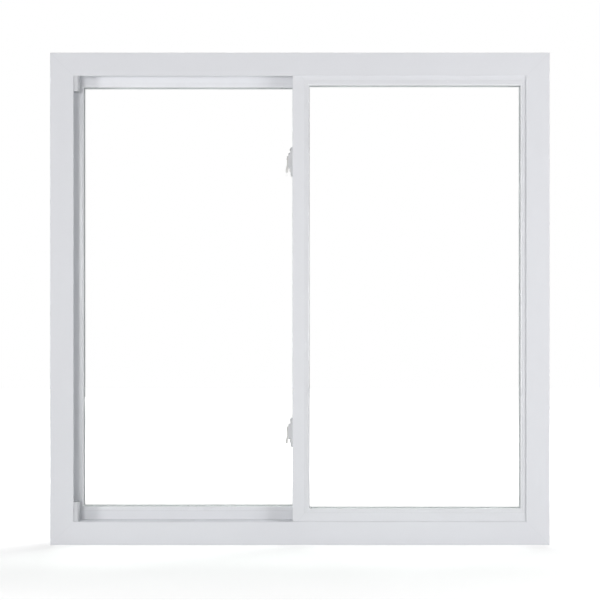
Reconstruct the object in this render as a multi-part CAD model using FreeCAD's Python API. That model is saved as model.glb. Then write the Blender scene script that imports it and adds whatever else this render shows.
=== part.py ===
import FreeCAD, Part
import math
import os

# White vinyl horizontal sliding window, seen in the photograph from the room.
# The left sash is fixed in the outer track and the right sash slides in the inner one.
# X runs to the right, Y from the room to the outside, Z up.
# The origin is under the middle of the sill. All sizes are millimetres.

# Main frame
WINDOW_WIDTH = 908.0
WINDOW_HEIGHT = 895.0
FACE_WIDTH = 42.5             # room-side leg, from the outer edge to the clear opening
BACK_WALL = 12.0              # from the outer edge to the floor of the tracks
ROOM_LEG = 2.0                # thickness of the room-side leg, a single wall
TRACK_WIDTH = 30.5            # each of the two sash tracks
SASH_CLEARANCE = 1.0          # on each face of a sash in its track
RIB_THICK = 11.0              # rib between the tracks
RIB_HEIGHT = 36.0
SILL_RIB_HEIGHT = 42.0        # the sill's rib is taller, as a dam against water
OUTER_LEG = 8.6               # thickness of the outside leg
OUTER_LEG_HEIGHT = 34.0
SCREEN_GROOVE = 4.0           # groove for an insect screen in the edge of the outside leg
SCREEN_GROOVE_DEPTH = 6.0
SCREEN_GROOVE_WALL = 2.5      # lip between that groove and the outer track
FRAME_EDGE_RADIUS = 0.9
RIB_EDGE_RADIUS = 1.0

# Sash sections, the same for both sashes
SASH_FLAT = 26.2              # flat of rails and jamb stiles, outside the glazing bead
MEETING_FLAT = 21.8           # flat of the meeting stiles
BEAD_WIDTH = 9.0
BEAD_DEPTH = 8.3              # from the sash face back to the glass
BEAD_NOSE_RADIUS = 3.2
BEAD_EDGE_RADIUS = 0.5
BEAD_RELIEF_INSET = 4.0       # fine groove along the bead's face, from its outer edge
BEAD_RELIEF_WIDTH = 0.7
BEAD_RELIEF_DEPTH = 0.5
BEAD_LIP = 8.0                # depth of the lip that the bead snaps against
GLASS_POCKET = 2.0            # how far the glass pocket goes in behind that lip
GLASS_BACK_LIP = 2.7          # wall of the section behind the glass
SASH_EDGE_RADIUS = 1.0

# Where the sashes stand in the frame
MEETING_CENTRE = 2.1          # middle of the meeting stiles, right of the window's middle
SASH_RISE = 19.6              # track floor to the sash's lower edge
LIFT_OUT_GAP = 12.5           # head room that lets the sliding sash be lifted out
SLIDING_SIDE_GAP = 5.7        # track floor of the jamb to the closed sash
FIXED_SIDE_GAP = 9.6

# Sealed glass unit
PANE_THICK = 3.0
GLASS_EDGE_CLEARANCE = 1.5    # floor of the pocket to the edge of the glass
SPACER_WIDTH = 8.0

# Interlock hooks between the meeting stiles
HOOK_WALL = 1.5
HOOK_TIP_GAP = 1.0            # tip of each hook to the other sash
HOOK_LIP = 5.0
HOOK_OVERLAP = 2.5            # how far the two lips pass each other
HOOK_SHIFT = 4.0              # middle of the hooks, right of the middle of the stiles
HOOK_END_GAP = 4.0            # above and below, clear of the frame's rib

# Roller track and rollers
RAIL_FLANGE_WIDTH = 12.0
RAIL_FLANGE_THICK = 2.0
RAIL_BLADE = 3.0
RAIL_TOP_RADIUS = 1.35
WHEEL_GROOVE_RADIUS = 7.0
WHEEL_GROOVE_DEPTH = 1.5
WHEEL_FLANGE_THICK = 1.2
WHEEL_GROOVE_CLEARANCE = 0.3
WHEEL_SIDE_CLEARANCE = 0.5
WHEEL_TOP_CLEARANCE = 1.1
AXLE_RADIUS = 1.5
AXLE_CLEARANCE = 0.1
AXLE_RISE = 3.4               # above the sash's lower edge
ROLLER_CASE_WALL = 2.2
ROLLER_CASE_LENGTH = 44.0
ROLLER_CASE_CLEARANCE = 0.3
ROLLER_CASE_ROOM = 1.0        # case above the sash's lower edge
ROLLER_CASE_RADIUS = 3.0      # lower corners of the case
ROLLER_INSET = 70.0           # from each end of the sash to the wheel

# Pile strips, the brushes in the gaps round the sliding sash and in the interlock
PILE_WIDTH = 4.0
PILE_INSET = 1.0              # sash edge to the strip
PILE_TIP_CLEARANCE = 0.15
PILE_CORNER_GAP = 0.5         # between the strips of two sides

# Blocks in the tracks
BUMPER_LENGTH = 39.0          # out from the jamb's track floor
BUMPER_SIDE_GAP = 0.3
BUMPER_RADIUS = 2.5           # upright edges of the end that the sash meets
LOWER_BUMPER_HEIGHT = 65.2
UPPER_BUMPER_HEIGHT = 57.7
SETTING_BLOCK_LENGTH = 60.0
SETTING_BLOCK_INSET = 80.0

# Cam locks on the edge of the sliding meeting stile
LOCK_SPACING = 494.0
LOCK_BASE_LENGTH = 54.0
LOCK_BASE_WIDTH = 18.0
LOCK_BASE_THICK = 4.0
LOCK_BASE_END_THICK = 2.8     # the base thins towards its lower end
LOCK_BASE_SLOPE = 8.0         # length of that thinner end
LOCK_BASE_CORNER = 8.0        # rounded ends, seen from the stile's edge
LOCK_BASE_EDGE_RADIUS = 1.0
LOCK_CASE_LENGTH = 28.8
LOCK_CASE_WIDTH = 15.0
LOCK_CASE_REACH = 8.0
LOCK_CASE_CORNER = 5.0
LOCK_CASE_TOP_RADIUS = 4.0
LOCK_CASE_EDGE_RADIUS = 0.8
LOCK_CASE_OFFSET = 1.7        # case above the middle of the base
LOCK_PIVOT_OFFSET = 4.4       # pivot above the middle of the base
LEVER_THICK = 2.4
LEVER_LENGTH = 31.0
LEVER_HEAD_WIDTH = 12.0
LEVER_HEAD_CORNER = 5.0
LEVER_TIP_WIDTH = 9.0
LEVER_TIP_CORNER = 3.0
LEVER_TIP_THICK = 3.5
LEVER_TIP_LENGTH = 6.0        # thickest part, from the tip up
LEVER_DROP_LENGTH = 14.0      # from the tip up to where the blade starts to thicken
LEVER_FLARE = 1.0             # how far the tip's back stands further out than the head's
LEVER_BEND_RADIUS = 12.0
LEVER_EDGE_RADIUS = 0.8
LEVER_TIP_RADIUS = 1.2
LEVER_SHAFT_RADIUS = 3.0
SHAFT_CLEARANCE = 0.05
CAM_THICK = 1.8
CAM_WIDTH = 8.0
CAM_REACH = 18.0
CAM_CORNER = 3.0
CAM_SEAT_CLEARANCE = 0.2

# Keepers on the fixed meeting stile
KEEPER_THICK = 1.5
KEEPER_LENGTH = 30.0
KEEPER_EAR_LENGTH = 24.0
KEEPER_EAR_GAP = 1.2          # ear to the back of the sliding sash
KEEPER_HOOK_GAP = 0.5         # keeper plate to the sliding stile's hook

# Drain slots and their covers, and the screw holes
WEEP_LENGTH = 30.0
WEEP_HEIGHT = 5.0
WEEP_FROM_END = 154.0
RIB_WEEP_SHIFT = 60.0         # the rib's slots, further in than the outside ones
WEEP_COVER_MARGIN = 5.0
WEEP_COVER_THICK = 2.4
WEEP_COVER_RADIUS = 1.6
WEEP_PLUG_CLEARANCE = 0.3
SCREW_HOLE_RADIUS = 2.5
SCREW_HOLE_FROM_END = 150.0

# Places worked out from the sizes above
FRAME_DEPTH = ROOM_LEG + TRACK_WIDTH + RIB_THICK + TRACK_WIDTH + OUTER_LEG
ROOM_FACE = -FRAME_DEPTH / 2
INNER_TRACK = ROOM_FACE + ROOM_LEG
RIB_FACE = INNER_TRACK + TRACK_WIDTH
OUTER_TRACK = RIB_FACE + RIB_THICK
OUTSIDE_FACE = ROOM_FACE + FRAME_DEPTH
TRACK_LEFT = -WINDOW_WIDTH / 2 + BACK_WALL
TRACK_RIGHT = WINDOW_WIDTH / 2 - BACK_WALL
TRACK_TOP = WINDOW_HEIGHT - BACK_WALL
SASH_THICK = TRACK_WIDTH - 2 * SASH_CLEARANCE
SLIDING_FACE = INNER_TRACK + SASH_CLEARANCE
SLIDING_BACK = SLIDING_FACE + SASH_THICK
FIXED_FACE = OUTER_TRACK + SASH_CLEARANCE
SASH_TO_SASH = FIXED_FACE - SLIDING_BACK
RAIL_WIDTH = SASH_FLAT + BEAD_WIDTH
MEETING_WIDTH = MEETING_FLAT + BEAD_WIDTH
MEETING_LEFT = MEETING_CENTRE - MEETING_WIDTH / 2
MEETING_RIGHT = MEETING_CENTRE + MEETING_WIDTH / 2
SASH_BOTTOM = BACK_WALL + SASH_RISE
SASH_TOP = TRACK_TOP - LIFT_OUT_GAP
SASH_MIDDLE = (SASH_BOTTOM + SASH_TOP) / 2
BUMPER_END = TRACK_LEFT + BUMPER_LENGTH
TRACK_CENTRE = INNER_TRACK + TRACK_WIDTH / 2
REBATE_DEPTH = SASH_THICK - GLASS_BACK_LIP
PANE_GAP = REBATE_DEPTH - BEAD_DEPTH - 2 * PANE_THICK
WHEEL_WIDTH = RAIL_BLADE + 2 * (WHEEL_GROOVE_CLEARANCE + WHEEL_FLANGE_THICK)
WHEEL_FLANGE_RADIUS = WHEEL_GROOVE_RADIUS + WHEEL_GROOVE_DEPTH
WHEEL_SLOT = WHEEL_WIDTH + 2 * WHEEL_SIDE_CLEARANCE
ROLLER_CASE_WIDTH = WHEEL_SLOT + 2 * ROLLER_CASE_WALL
EDGE_CHANNEL_WIDTH = ROLLER_CASE_WIDTH + 2 * ROLLER_CASE_CLEARANCE
EDGE_CHANNEL_DEPTH = AXLE_RISE + WHEEL_FLANGE_RADIUS + WHEEL_TOP_CLEARANCE
CHANNEL_START = (SASH_THICK - EDGE_CHANNEL_WIDTH) / 2
WHEEL_Z = SASH_BOTTOM + AXLE_RISE
RAIL_TOP = WHEEL_Z - WHEEL_GROOVE_RADIUS
HOOK_REACH = SASH_TO_SASH - HOOK_TIP_GAP
HOOK_HALF_SPREAD = HOOK_WALL + HOOK_LIP - HOOK_OVERLAP / 2
SLIDING_HOOK_ROOT = MEETING_CENTRE + HOOK_SHIFT - HOOK_HALF_SPREAD
FIXED_HOOK_ROOT = MEETING_CENTRE + HOOK_SHIFT + HOOK_HALF_SPREAD

FRAME_BOX = (-WINDOW_WIDTH / 2, WINDOW_WIDTH / 2, 0.0, WINDOW_HEIGHT)
SLIDING_BOX = (MEETING_LEFT, TRACK_RIGHT - SLIDING_SIDE_GAP, SASH_BOTTOM, SASH_TOP)
FIXED_BOX = (TRACK_LEFT + FIXED_SIDE_GAP, MEETING_RIGHT, SASH_BOTTOM, SASH_TOP)


def point(x, y, z):
    return FreeCAD.Vector(x, y, z)


def box(x_low, x_high, y_low, y_high, z_low, z_high):
    return Part.makeBox(x_high - x_low, y_high - y_low, z_high - z_low, point(x_low, y_low, z_low))


def outline_face(corners, place):
    """Face from corners (a, b, radius), each rounded by its radius and put in space by place(a, b)."""
    starts = []
    ends = []
    middles = []
    for index, (a, b, radius) in enumerate(corners):
        before = corners[index - 1]
        after = corners[(index + 1) % len(corners)]
        to_before = FreeCAD.Vector(before[0] - a, before[1] - b, 0).normalize()
        to_after = FreeCAD.Vector(after[0] - a, after[1] - b, 0).normalize()
        half_turn = to_before.getAngle(to_after) / 2
        corner = FreeCAD.Vector(a, b, 0)
        if radius == 0:
            starts.append(corner)
            ends.append(corner)
            middles.append(None)
            continue
        reach = radius / math.tan(half_turn)
        inward = (to_before + to_after).normalize()
        centre = corner + inward * (radius / math.sin(half_turn))
        starts.append(corner + to_before * reach)
        ends.append(corner + to_after * reach)
        middles.append(centre - inward * radius)
    edges = []
    for index, middle in enumerate(middles):
        start = place(starts[index].x, starts[index].y)
        end = place(ends[index].x, ends[index].y)
        following = starts[(index + 1) % len(starts)]
        if middle is not None:
            edges.append(Part.Arc(start, place(middle.x, middle.y), end).toShape())
        edges.append(Part.LineSegment(end, place(following.x, following.y)).toShape())
    return Part.Face(Part.Wire(edges))


def bar(side, outer_box, outline, face_y):
    """A straight length of a section along one side of a rectangle.

    The section's corners are (inward from the outer edge, back from the face, radius).
    """
    left, right, bottom, top = outer_box

    def place(inward, back):
        x = right - inward if side == "right" else left + inward * (side == "left")
        z = top - inward if side == "top" else bottom + inward * (side == "bottom")
        return point(x, face_y + back, z)

    along = point(right - left, 0, 0) if side in ("bottom", "top") else point(0, 0, top - bottom)
    return outline_face(outline, place).extrude(along)


def corner_line(outer_box, vertical, horizontal, steps):
    """Points of a corner joint, from the outer corner inward."""
    left, right, bottom, top = outer_box
    points = []
    for step_x, step_z in steps:
        x = left + step_x if horizontal == "left" else right - step_x
        z = bottom + step_z if vertical == "bottom" else top - step_z
        points.append((x, z))
    return points


def mitre_prism(side, outer_box, left_steps, right_steps):
    """The region of one side of a rectangle between its two corner joints, right through in depth."""
    if side in ("bottom", "top"):
        first = corner_line(outer_box, side, "left", left_steps)
        second = corner_line(outer_box, side, "right", right_steps)
    else:
        steps = left_steps if side == "left" else right_steps
        first = corner_line(outer_box, "bottom", side, steps)
        second = corner_line(outer_box, "top", side, steps)
    plan = first + second[::-1]
    points = [point(x, ROOM_FACE, z) for x, z in plan]
    return Part.Face(Part.makePolygon(points + points[:1])).extrude(point(0, FRAME_DEPTH, 0))


def mitred_bar(side, outer_box, outline, face_y, left_steps, right_steps):
    length = bar(side, outer_box, outline, face_y)
    return single(length.common(mitre_prism(side, outer_box, left_steps, right_steps)))


def single(shape):
    """The one solid of a shape that a cut or common returned, with split faces joined again."""
    return shape.removeSplitter().Solids[0]


# Main frame: one extrusion on all four sides, welded at mitred corners
FRAME_STEPS = [(0, 0), (FACE_WIDTH, FACE_WIDTH)]


def frame_outline(rib_height):
    inner_track = ROOM_LEG
    rib = inner_track + TRACK_WIDTH
    outer_track = rib + RIB_THICK
    outer_leg = outer_track + TRACK_WIDTH
    groove = outer_leg + SCREEN_GROOVE_WALL
    groove_end = groove + SCREEN_GROOVE
    groove_floor = OUTER_LEG_HEIGHT - SCREEN_GROOVE_DEPTH
    return [
        (0, 0, FRAME_EDGE_RADIUS),
        (FACE_WIDTH, 0, FRAME_EDGE_RADIUS),
        (FACE_WIDTH, inner_track, FRAME_EDGE_RADIUS),
        (BACK_WALL, inner_track, 0),
        (BACK_WALL, rib, 0),
        (rib_height, rib, RIB_EDGE_RADIUS),
        (rib_height, outer_track, RIB_EDGE_RADIUS),
        (BACK_WALL, outer_track, 0),
        (BACK_WALL, outer_leg, 0),
        (OUTER_LEG_HEIGHT, outer_leg, 0),
        (OUTER_LEG_HEIGHT, groove, 0),
        (groove_floor, groove, 0),
        (groove_floor, groove_end, 0),
        (OUTER_LEG_HEIGHT, groove_end, 0),
        (OUTER_LEG_HEIGHT, FRAME_DEPTH, 0),
        (0, FRAME_DEPTH, FRAME_EDGE_RADIUS),
    ]


def frame_member(side, rib_height=RIB_HEIGHT):
    return mitred_bar(side, FRAME_BOX, frame_outline(rib_height), ROOM_FACE, FRAME_STEPS, FRAME_STEPS)


def side_region(side, y_low, y_high, inward_low, inward_high):
    """A block along a whole side of the window, between two distances in from its outer edge."""
    left, right, bottom, top = FRAME_BOX
    if side == "left":
        left, right = left + inward_low, left + inward_high
    elif side == "right":
        left, right = right - inward_high, right - inward_low
    elif side == "bottom":
        bottom, top = bottom + inward_low, bottom + inward_high
    else:
        bottom, top = top - inward_high, top - inward_low
    return box(left, right, y_low, y_high, bottom, top)


def frame_walls(side, member, rib_height=RIB_HEIGHT):
    """The member's floor, two legs and rib as solids that meet face to face.

    Split in this way, its tracks stay open for whatever touches the frame.
    """
    outer_leg_face = OUTSIDE_FACE - OUTER_LEG
    walls = []
    for y_low, y_high, inward_low, inward_high in (
        (ROOM_FACE, INNER_TRACK, 0.0, FACE_WIDTH),
        (INNER_TRACK, outer_leg_face, 0.0, BACK_WALL),
        (RIB_FACE, OUTER_TRACK, BACK_WALL, rib_height),
        (outer_leg_face, OUTSIDE_FACE, 0.0, OUTER_LEG_HEIGHT),
    ):
        region = side_region(side, y_low, y_high, inward_low, inward_high)
        walls.append(single(member.common(region)))
    return Part.makeCompound(walls)


def frame_head():
    return frame_walls("top", frame_member("top"))


def weep_middle(side):
    return side * (WINDOW_WIDTH / 2 - WEEP_FROM_END)


def weep_slot(x_middle, y_low, y_high):
    half = WEEP_LENGTH / 2
    return box(x_middle - half, x_middle + half, y_low, y_high, BACK_WALL, BACK_WALL + WEEP_HEIGHT)


def frame_sill():
    """The sill has drain slots through its outside leg and, further in, through the rib."""
    sill = frame_member("bottom", SILL_RIB_HEIGHT)
    for side in (-1, 1):
        middle = weep_middle(side)
        sill = sill.cut(weep_slot(middle, OUTSIDE_FACE - OUTER_LEG, OUTSIDE_FACE))
        sill = sill.cut(weep_slot(middle - side * RIB_WEEP_SHIFT, RIB_FACE, OUTER_TRACK))
    return frame_walls("bottom", sill, SILL_RIB_HEIGHT)


def frame_jamb(side):
    """Each jamb has two screw holes from the floor of the inner track out into the wall."""
    jamb = frame_member(side)
    outer_x = -WINDOW_WIDTH / 2 if side == "left" else TRACK_RIGHT
    for z in (SCREW_HOLE_FROM_END, WINDOW_HEIGHT - SCREW_HOLE_FROM_END):
        start = point(outer_x, TRACK_CENTRE, z)
        jamb = jamb.cut(Part.makeCylinder(SCREW_HOLE_RADIUS, BACK_WALL, start, point(1, 0, 0)))
    return frame_walls(side, jamb)


# Sashes: rails and stiles of one section round a glazing pocket, and a slimmer meeting stile
EDGE_STEPS = [(0, 0), (RAIL_WIDTH, RAIL_WIDTH)]
MEETING_STEPS = [(0, 0), (MEETING_FLAT, SASH_FLAT), (MEETING_WIDTH, RAIL_WIDTH)]


def rail_outline():
    channel_end = CHANNEL_START + EDGE_CHANNEL_WIDTH
    pocket_floor = SASH_FLAT - GLASS_POCKET
    return [
        (0, 0, SASH_EDGE_RADIUS),
        (SASH_FLAT, 0, 0),
        (SASH_FLAT, BEAD_LIP, 0),
        (pocket_floor, BEAD_LIP, 0),
        (pocket_floor, REBATE_DEPTH, 0),
        (RAIL_WIDTH, REBATE_DEPTH, 0),
        (RAIL_WIDTH, SASH_THICK, SASH_EDGE_RADIUS),
        (0, SASH_THICK, SASH_EDGE_RADIUS),
        (0, channel_end, 0),
        (EDGE_CHANNEL_DEPTH, channel_end, 0),
        (EDGE_CHANNEL_DEPTH, CHANNEL_START, 0),
        (0, CHANNEL_START, 0),
    ]


def meeting_outline():
    pocket_floor = MEETING_FLAT - GLASS_POCKET
    return [
        (0, 0, SASH_EDGE_RADIUS),
        (MEETING_FLAT, 0, 0),
        (MEETING_FLAT, BEAD_LIP, 0),
        (pocket_floor, BEAD_LIP, 0),
        (pocket_floor, REBATE_DEPTH, 0),
        (MEETING_WIDTH, REBATE_DEPTH, 0),
        (MEETING_WIDTH, SASH_THICK, SASH_EDGE_RADIUS),
        (0, SASH_THICK, SASH_EDGE_RADIUS),
    ]


def corner_steps(meeting_side):
    """Corner joints at the left and at the right of a sash."""
    if meeting_side == "left":
        return MEETING_STEPS, EDGE_STEPS
    return EDGE_STEPS, MEETING_STEPS


def sash_member(side, sash_box, face_y, meeting_side):
    outline = meeting_outline() if side == meeting_side else rail_outline()
    left_steps, right_steps = corner_steps(meeting_side)
    return mitred_bar(side, sash_box, outline, face_y, left_steps, right_steps)


HOOK_BOTTOM = SILL_RIB_HEIGHT + HOOK_END_GAP
HOOK_TOP = WINDOW_HEIGHT - RIB_HEIGHT - HOOK_END_GAP


def hook(root_x, lip_direction, face_y, depth_direction):
    """An L-shaped leg that stands off a meeting stile and turns along it."""
    corners = [
        (0, 0),
        (0, HOOK_REACH),
        (HOOK_WALL + HOOK_LIP, HOOK_REACH),
        (HOOK_WALL + HOOK_LIP, HOOK_REACH - HOOK_WALL),
        (HOOK_WALL, HOOK_REACH - HOOK_WALL),
        (HOOK_WALL, 0),
    ]
    points = []
    for across, out in corners:
        points.append(point(root_x + lip_direction * across, face_y + depth_direction * out, HOOK_BOTTOM))
    return Part.Face(Part.makePolygon(points + points[:1])).extrude(point(0, 0, HOOK_TOP - HOOK_BOTTOM))


def sliding_meeting_stile():
    stile = sash_member("left", SLIDING_BOX, SLIDING_FACE, "left")
    return single(stile.fuse(hook(SLIDING_HOOK_ROOT, 1, SLIDING_BACK, 1)))


def fixed_meeting_stile():
    stile = sash_member("right", FIXED_BOX, FIXED_FACE, "right")
    return single(stile.fuse(hook(FIXED_HOOK_ROOT, -1, FIXED_FACE, -1)))


# Glazing beads: snapped in round the glass on the room side, mitred at the corners
def bead_outline(flat):
    relief = flat + BEAD_RELIEF_INSET
    relief_end = relief + BEAD_RELIEF_WIDTH
    return [
        (flat, 0, BEAD_EDGE_RADIUS),
        (relief, 0, 0),
        (relief, BEAD_RELIEF_DEPTH, 0),
        (relief_end, BEAD_RELIEF_DEPTH, 0),
        (relief_end, 0, 0),
        (flat + BEAD_WIDTH, 0, BEAD_NOSE_RADIUS),
        (flat + BEAD_WIDTH, BEAD_DEPTH, 0),
        (flat, BEAD_DEPTH, 0),
    ]


def glazing_bead(side, sash_box, face_y, meeting_side):
    flat = MEETING_FLAT if side == meeting_side else SASH_FLAT
    edge = [(SASH_FLAT, SASH_FLAT), (RAIL_WIDTH, RAIL_WIDTH)]
    meeting = [(MEETING_FLAT, SASH_FLAT), (MEETING_WIDTH, RAIL_WIDTH)]
    left_steps, right_steps = (meeting, edge) if meeting_side == "left" else (edge, meeting)
    return mitred_bar(side, sash_box, bead_outline(flat), face_y, left_steps, right_steps)


# Sealed unit: two panes and a spacer between their edges
def glass_edges(sash_box, meeting_side, inset):
    left, right, bottom, top = sash_box
    edge = SASH_FLAT - GLASS_POCKET + GLASS_EDGE_CLEARANCE + inset
    meeting = MEETING_FLAT - GLASS_POCKET + GLASS_EDGE_CLEARANCE + inset
    at_left = meeting if meeting_side == "left" else edge
    at_right = meeting if meeting_side == "right" else edge
    return left + at_left, right - at_right, bottom + edge, top - edge


def pane(sash_box, meeting_side, y_low, thick):
    left, right, bottom, top = glass_edges(sash_box, meeting_side, 0)
    return box(left, right, y_low, y_low + thick, bottom, top)


def spacer(sash_box, meeting_side, y_low):
    left, right, bottom, top = glass_edges(sash_box, meeting_side, SPACER_WIDTH)
    inside = box(left, right, y_low, y_low + PANE_GAP, bottom, top)
    return single(pane(sash_box, meeting_side, y_low, PANE_GAP).cut(inside))


def sash_pieces(name, sash_box, face_y, meeting_side):
    """All pieces of one sash, by node name."""
    jamb_side = "right" if meeting_side == "left" else "left"
    glass_y = face_y + BEAD_DEPTH
    pieces = {}
    for side, word in (("top", "top_rail"), ("bottom", "bottom_rail"), (jamb_side, "jamb_stile")):
        pieces[f"{name}_{word}"] = sash_member(side, sash_box, face_y, meeting_side)
    for side, word in (("top", "top"), ("bottom", "bottom"), (jamb_side, "jamb"), (meeting_side, "meeting")):
        pieces[f"{name}_bead_{word}"] = glazing_bead(side, sash_box, face_y, meeting_side)
    pieces[f"{name}_pane_room"] = pane(sash_box, meeting_side, glass_y, PANE_THICK)
    pieces[f"{name}_spacer"] = spacer(sash_box, meeting_side, glass_y + PANE_THICK)
    pieces[f"{name}_pane_outside"] = pane(sash_box, meeting_side, glass_y + PANE_THICK + PANE_GAP, PANE_THICK)
    return pieces


# Roller track: a blade on a flange, snapped to the floor of the inner track
def roller_track():
    half_flange = RAIL_FLANGE_WIDTH / 2
    half_blade = RAIL_BLADE / 2
    flange_top = BACK_WALL + RAIL_FLANGE_THICK
    outline = [
        (-half_flange, BACK_WALL, 0),
        (half_flange, BACK_WALL, 0),
        (half_flange, flange_top, 0),
        (half_blade, flange_top, 0),
        (half_blade, RAIL_TOP, RAIL_TOP_RADIUS),
        (-half_blade, RAIL_TOP, RAIL_TOP_RADIUS),
        (-half_blade, flange_top, 0),
        (-half_flange, flange_top, 0),
    ]

    def place(across, z):
        return point(BUMPER_END, TRACK_CENTRE + across, z)

    return outline_face(outline, place).extrude(point(TRACK_RIGHT - BUMPER_END, 0, 0))


# Rollers: a grooved wheel on an axle, in a case pressed into the sash's edge channel
def wheel(x):
    half_width = WHEEL_WIDTH / 2
    half_groove = RAIL_BLADE / 2 + WHEEL_GROOVE_CLEARANCE
    bore = AXLE_RADIUS + AXLE_CLEARANCE
    corners = [
        (-half_width, bore, 0),
        (half_width, bore, 0),
        (half_width, WHEEL_FLANGE_RADIUS, 0),
        (half_groove, WHEEL_FLANGE_RADIUS, 0),
        (half_groove, WHEEL_GROOVE_RADIUS, 0),
        (-half_groove, WHEEL_GROOVE_RADIUS, 0),
        (-half_groove, WHEEL_FLANGE_RADIUS, 0),
        (-half_width, WHEEL_FLANGE_RADIUS, 0),
    ]

    def place(across, radius):
        return point(x, TRACK_CENTRE + across, WHEEL_Z + radius)

    return outline_face(corners, place).revolve(point(x, TRACK_CENTRE, WHEEL_Z), point(0, 1, 0), 360)


def roller_case(x):
    half_length = ROLLER_CASE_LENGTH / 2
    y_low = TRACK_CENTRE - ROLLER_CASE_WIDTH / 2
    z_low = SASH_BOTTOM + ROLLER_CASE_ROOM
    z_high = SASH_BOTTOM + EDGE_CHANNEL_DEPTH
    outline = [
        (-half_length, z_low, ROLLER_CASE_RADIUS),
        (half_length, z_low, ROLLER_CASE_RADIUS),
        (half_length, z_high, 0),
        (-half_length, z_high, 0),
    ]

    def place(along, z):
        return point(x + along, y_low, z)

    case = outline_face(outline, place).extrude(point(0, ROLLER_CASE_WIDTH, 0))
    half_slot = WHEEL_SLOT / 2
    reach = WHEEL_FLANGE_RADIUS + WHEEL_SIDE_CLEARANCE
    slot = box(x - reach, x + reach, TRACK_CENTRE - half_slot, TRACK_CENTRE + half_slot, z_low, z_high)
    axle = Part.makeCylinder(AXLE_RADIUS, ROLLER_CASE_WIDTH, point(x, y_low, WHEEL_Z), point(0, 1, 0))
    return single(case.cut(slot).fuse(axle))


# Pile strips: fixed to the sliding sash on both faces, and to both stiles in the interlock
def sash_pile():
    left, right, bottom, top = SLIDING_BOX
    thick = SASH_CLEARANCE - PILE_TIP_CLEARANCE
    upright_end = right - PILE_INSET
    upright_start = upright_end - PILE_WIDTH
    level_start = left + PILE_INSET
    level_end = upright_start - PILE_CORNER_GAP
    low = bottom + PILE_INSET
    high = top - PILE_INSET
    strips = []
    for y in (SLIDING_FACE - thick, SLIDING_BACK):
        strips.append(box(upright_start, upright_end, y, y + thick, low, high))
        strips.append(box(level_start, level_end, y, y + thick, low, low + PILE_WIDTH))
        strips.append(box(level_start, level_end, y, y + thick, high - PILE_WIDTH, high))
    return Part.makeCompound(strips)


def interlock_pile():
    """Each strip lies under the tip of the other stile's hook, and is as wide as its lip."""
    thick = HOOK_TIP_GAP - PILE_TIP_CLEARANCE
    on_fixed = SLIDING_HOOK_ROOT + HOOK_WALL
    on_sliding = FIXED_HOOK_ROOT - HOOK_WALL - HOOK_LIP
    return Part.makeCompound([
        box(on_fixed, on_fixed + HOOK_LIP, FIXED_FACE - thick, FIXED_FACE, HOOK_BOTTOM, HOOK_TOP),
        box(on_sliding, on_sliding + HOOK_LIP, SLIDING_BACK, SLIDING_BACK + thick, HOOK_BOTTOM, HOOK_TOP),
    ])


# Blocks: bumpers that stop the opened sash, and setting blocks under the fixed sash
def bumper(z_low, z_high):
    y_low = INNER_TRACK + BUMPER_SIDE_GAP
    y_high = RIB_FACE - BUMPER_SIDE_GAP
    plan = [
        (TRACK_LEFT, y_low, 0),
        (BUMPER_END, y_low, BUMPER_RADIUS),
        (BUMPER_END, y_high, BUMPER_RADIUS),
        (TRACK_LEFT, y_high, 0),
    ]

    def place(x, y):
        return point(x, y, z_low)

    return outline_face(plan, place).extrude(point(0, 0, z_high - z_low))


def setting_blocks():
    left, right, _, _ = FIXED_BOX
    blocks = []
    for x in (left + SETTING_BLOCK_INSET, right - SETTING_BLOCK_INSET):
        half = SETTING_BLOCK_LENGTH / 2
        blocks.append(box(x - half, x + half, FIXED_FACE, FIXED_FACE + SASH_THICK, BACK_WALL, SASH_BOTTOM))
    return Part.makeCompound(blocks)


# Cam locks: a case screwed to the stile's edge, and a lever whose shaft carries the cam
LOCK_Y = TRACK_CENTRE


def lock_middle(level):
    return SASH_MIDDLE + level * LOCK_SPACING / 2


def edge_on(corners, width, z_middle):
    """A shape as the photograph shows it, edge-on: corners are (out from the stile, up, radius)."""
    def place(out, up):
        return point(MEETING_LEFT - out, LOCK_Y - width / 2, z_middle + up)

    return outline_face(corners, place).extrude(point(0, width, 0))


def face_on(corners, reach, z_middle):
    """A shape seen square to the stile's edge: corners are (across, up, radius)."""
    def place(across, up):
        return point(MEETING_LEFT, LOCK_Y + across, z_middle + up)

    return outline_face(corners, place).extrude(point(-reach, 0, 0))


def upright_plate(width, low, high, corner):
    half = width / 2
    return [(-half, low, corner), (half, low, corner), (half, high, corner), (-half, high, corner)]


def lock_base(middle):
    low = -LOCK_BASE_LENGTH / 2
    high = LOCK_BASE_LENGTH / 2
    side_view = edge_on([
        (0, low, 0),
        (LOCK_BASE_END_THICK, low, LOCK_BASE_EDGE_RADIUS),
        (LOCK_BASE_THICK, low + LOCK_BASE_SLOPE, LOCK_BASE_EDGE_RADIUS),
        (LOCK_BASE_THICK, high, LOCK_BASE_EDGE_RADIUS),
        (0, high, 0),
    ], LOCK_BASE_WIDTH, middle)
    front_view = upright_plate(LOCK_BASE_WIDTH, low, high, LOCK_BASE_CORNER)
    return side_view.common(face_on(front_view, LOCK_BASE_THICK, middle))


def lock_housing(middle):
    low = LOCK_CASE_OFFSET - LOCK_CASE_LENGTH / 2
    high = LOCK_CASE_OFFSET + LOCK_CASE_LENGTH / 2
    side_view = edge_on([
        (0, low, 0),
        (LOCK_CASE_REACH, low, LOCK_CASE_EDGE_RADIUS),
        (LOCK_CASE_REACH, high, LOCK_CASE_TOP_RADIUS),
        (0, high, 0),
    ], LOCK_CASE_WIDTH, middle)
    front_view = upright_plate(LOCK_CASE_WIDTH, low, high, LOCK_CASE_CORNER)
    return side_view.common(face_on(front_view, LOCK_CASE_REACH, middle))


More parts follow.
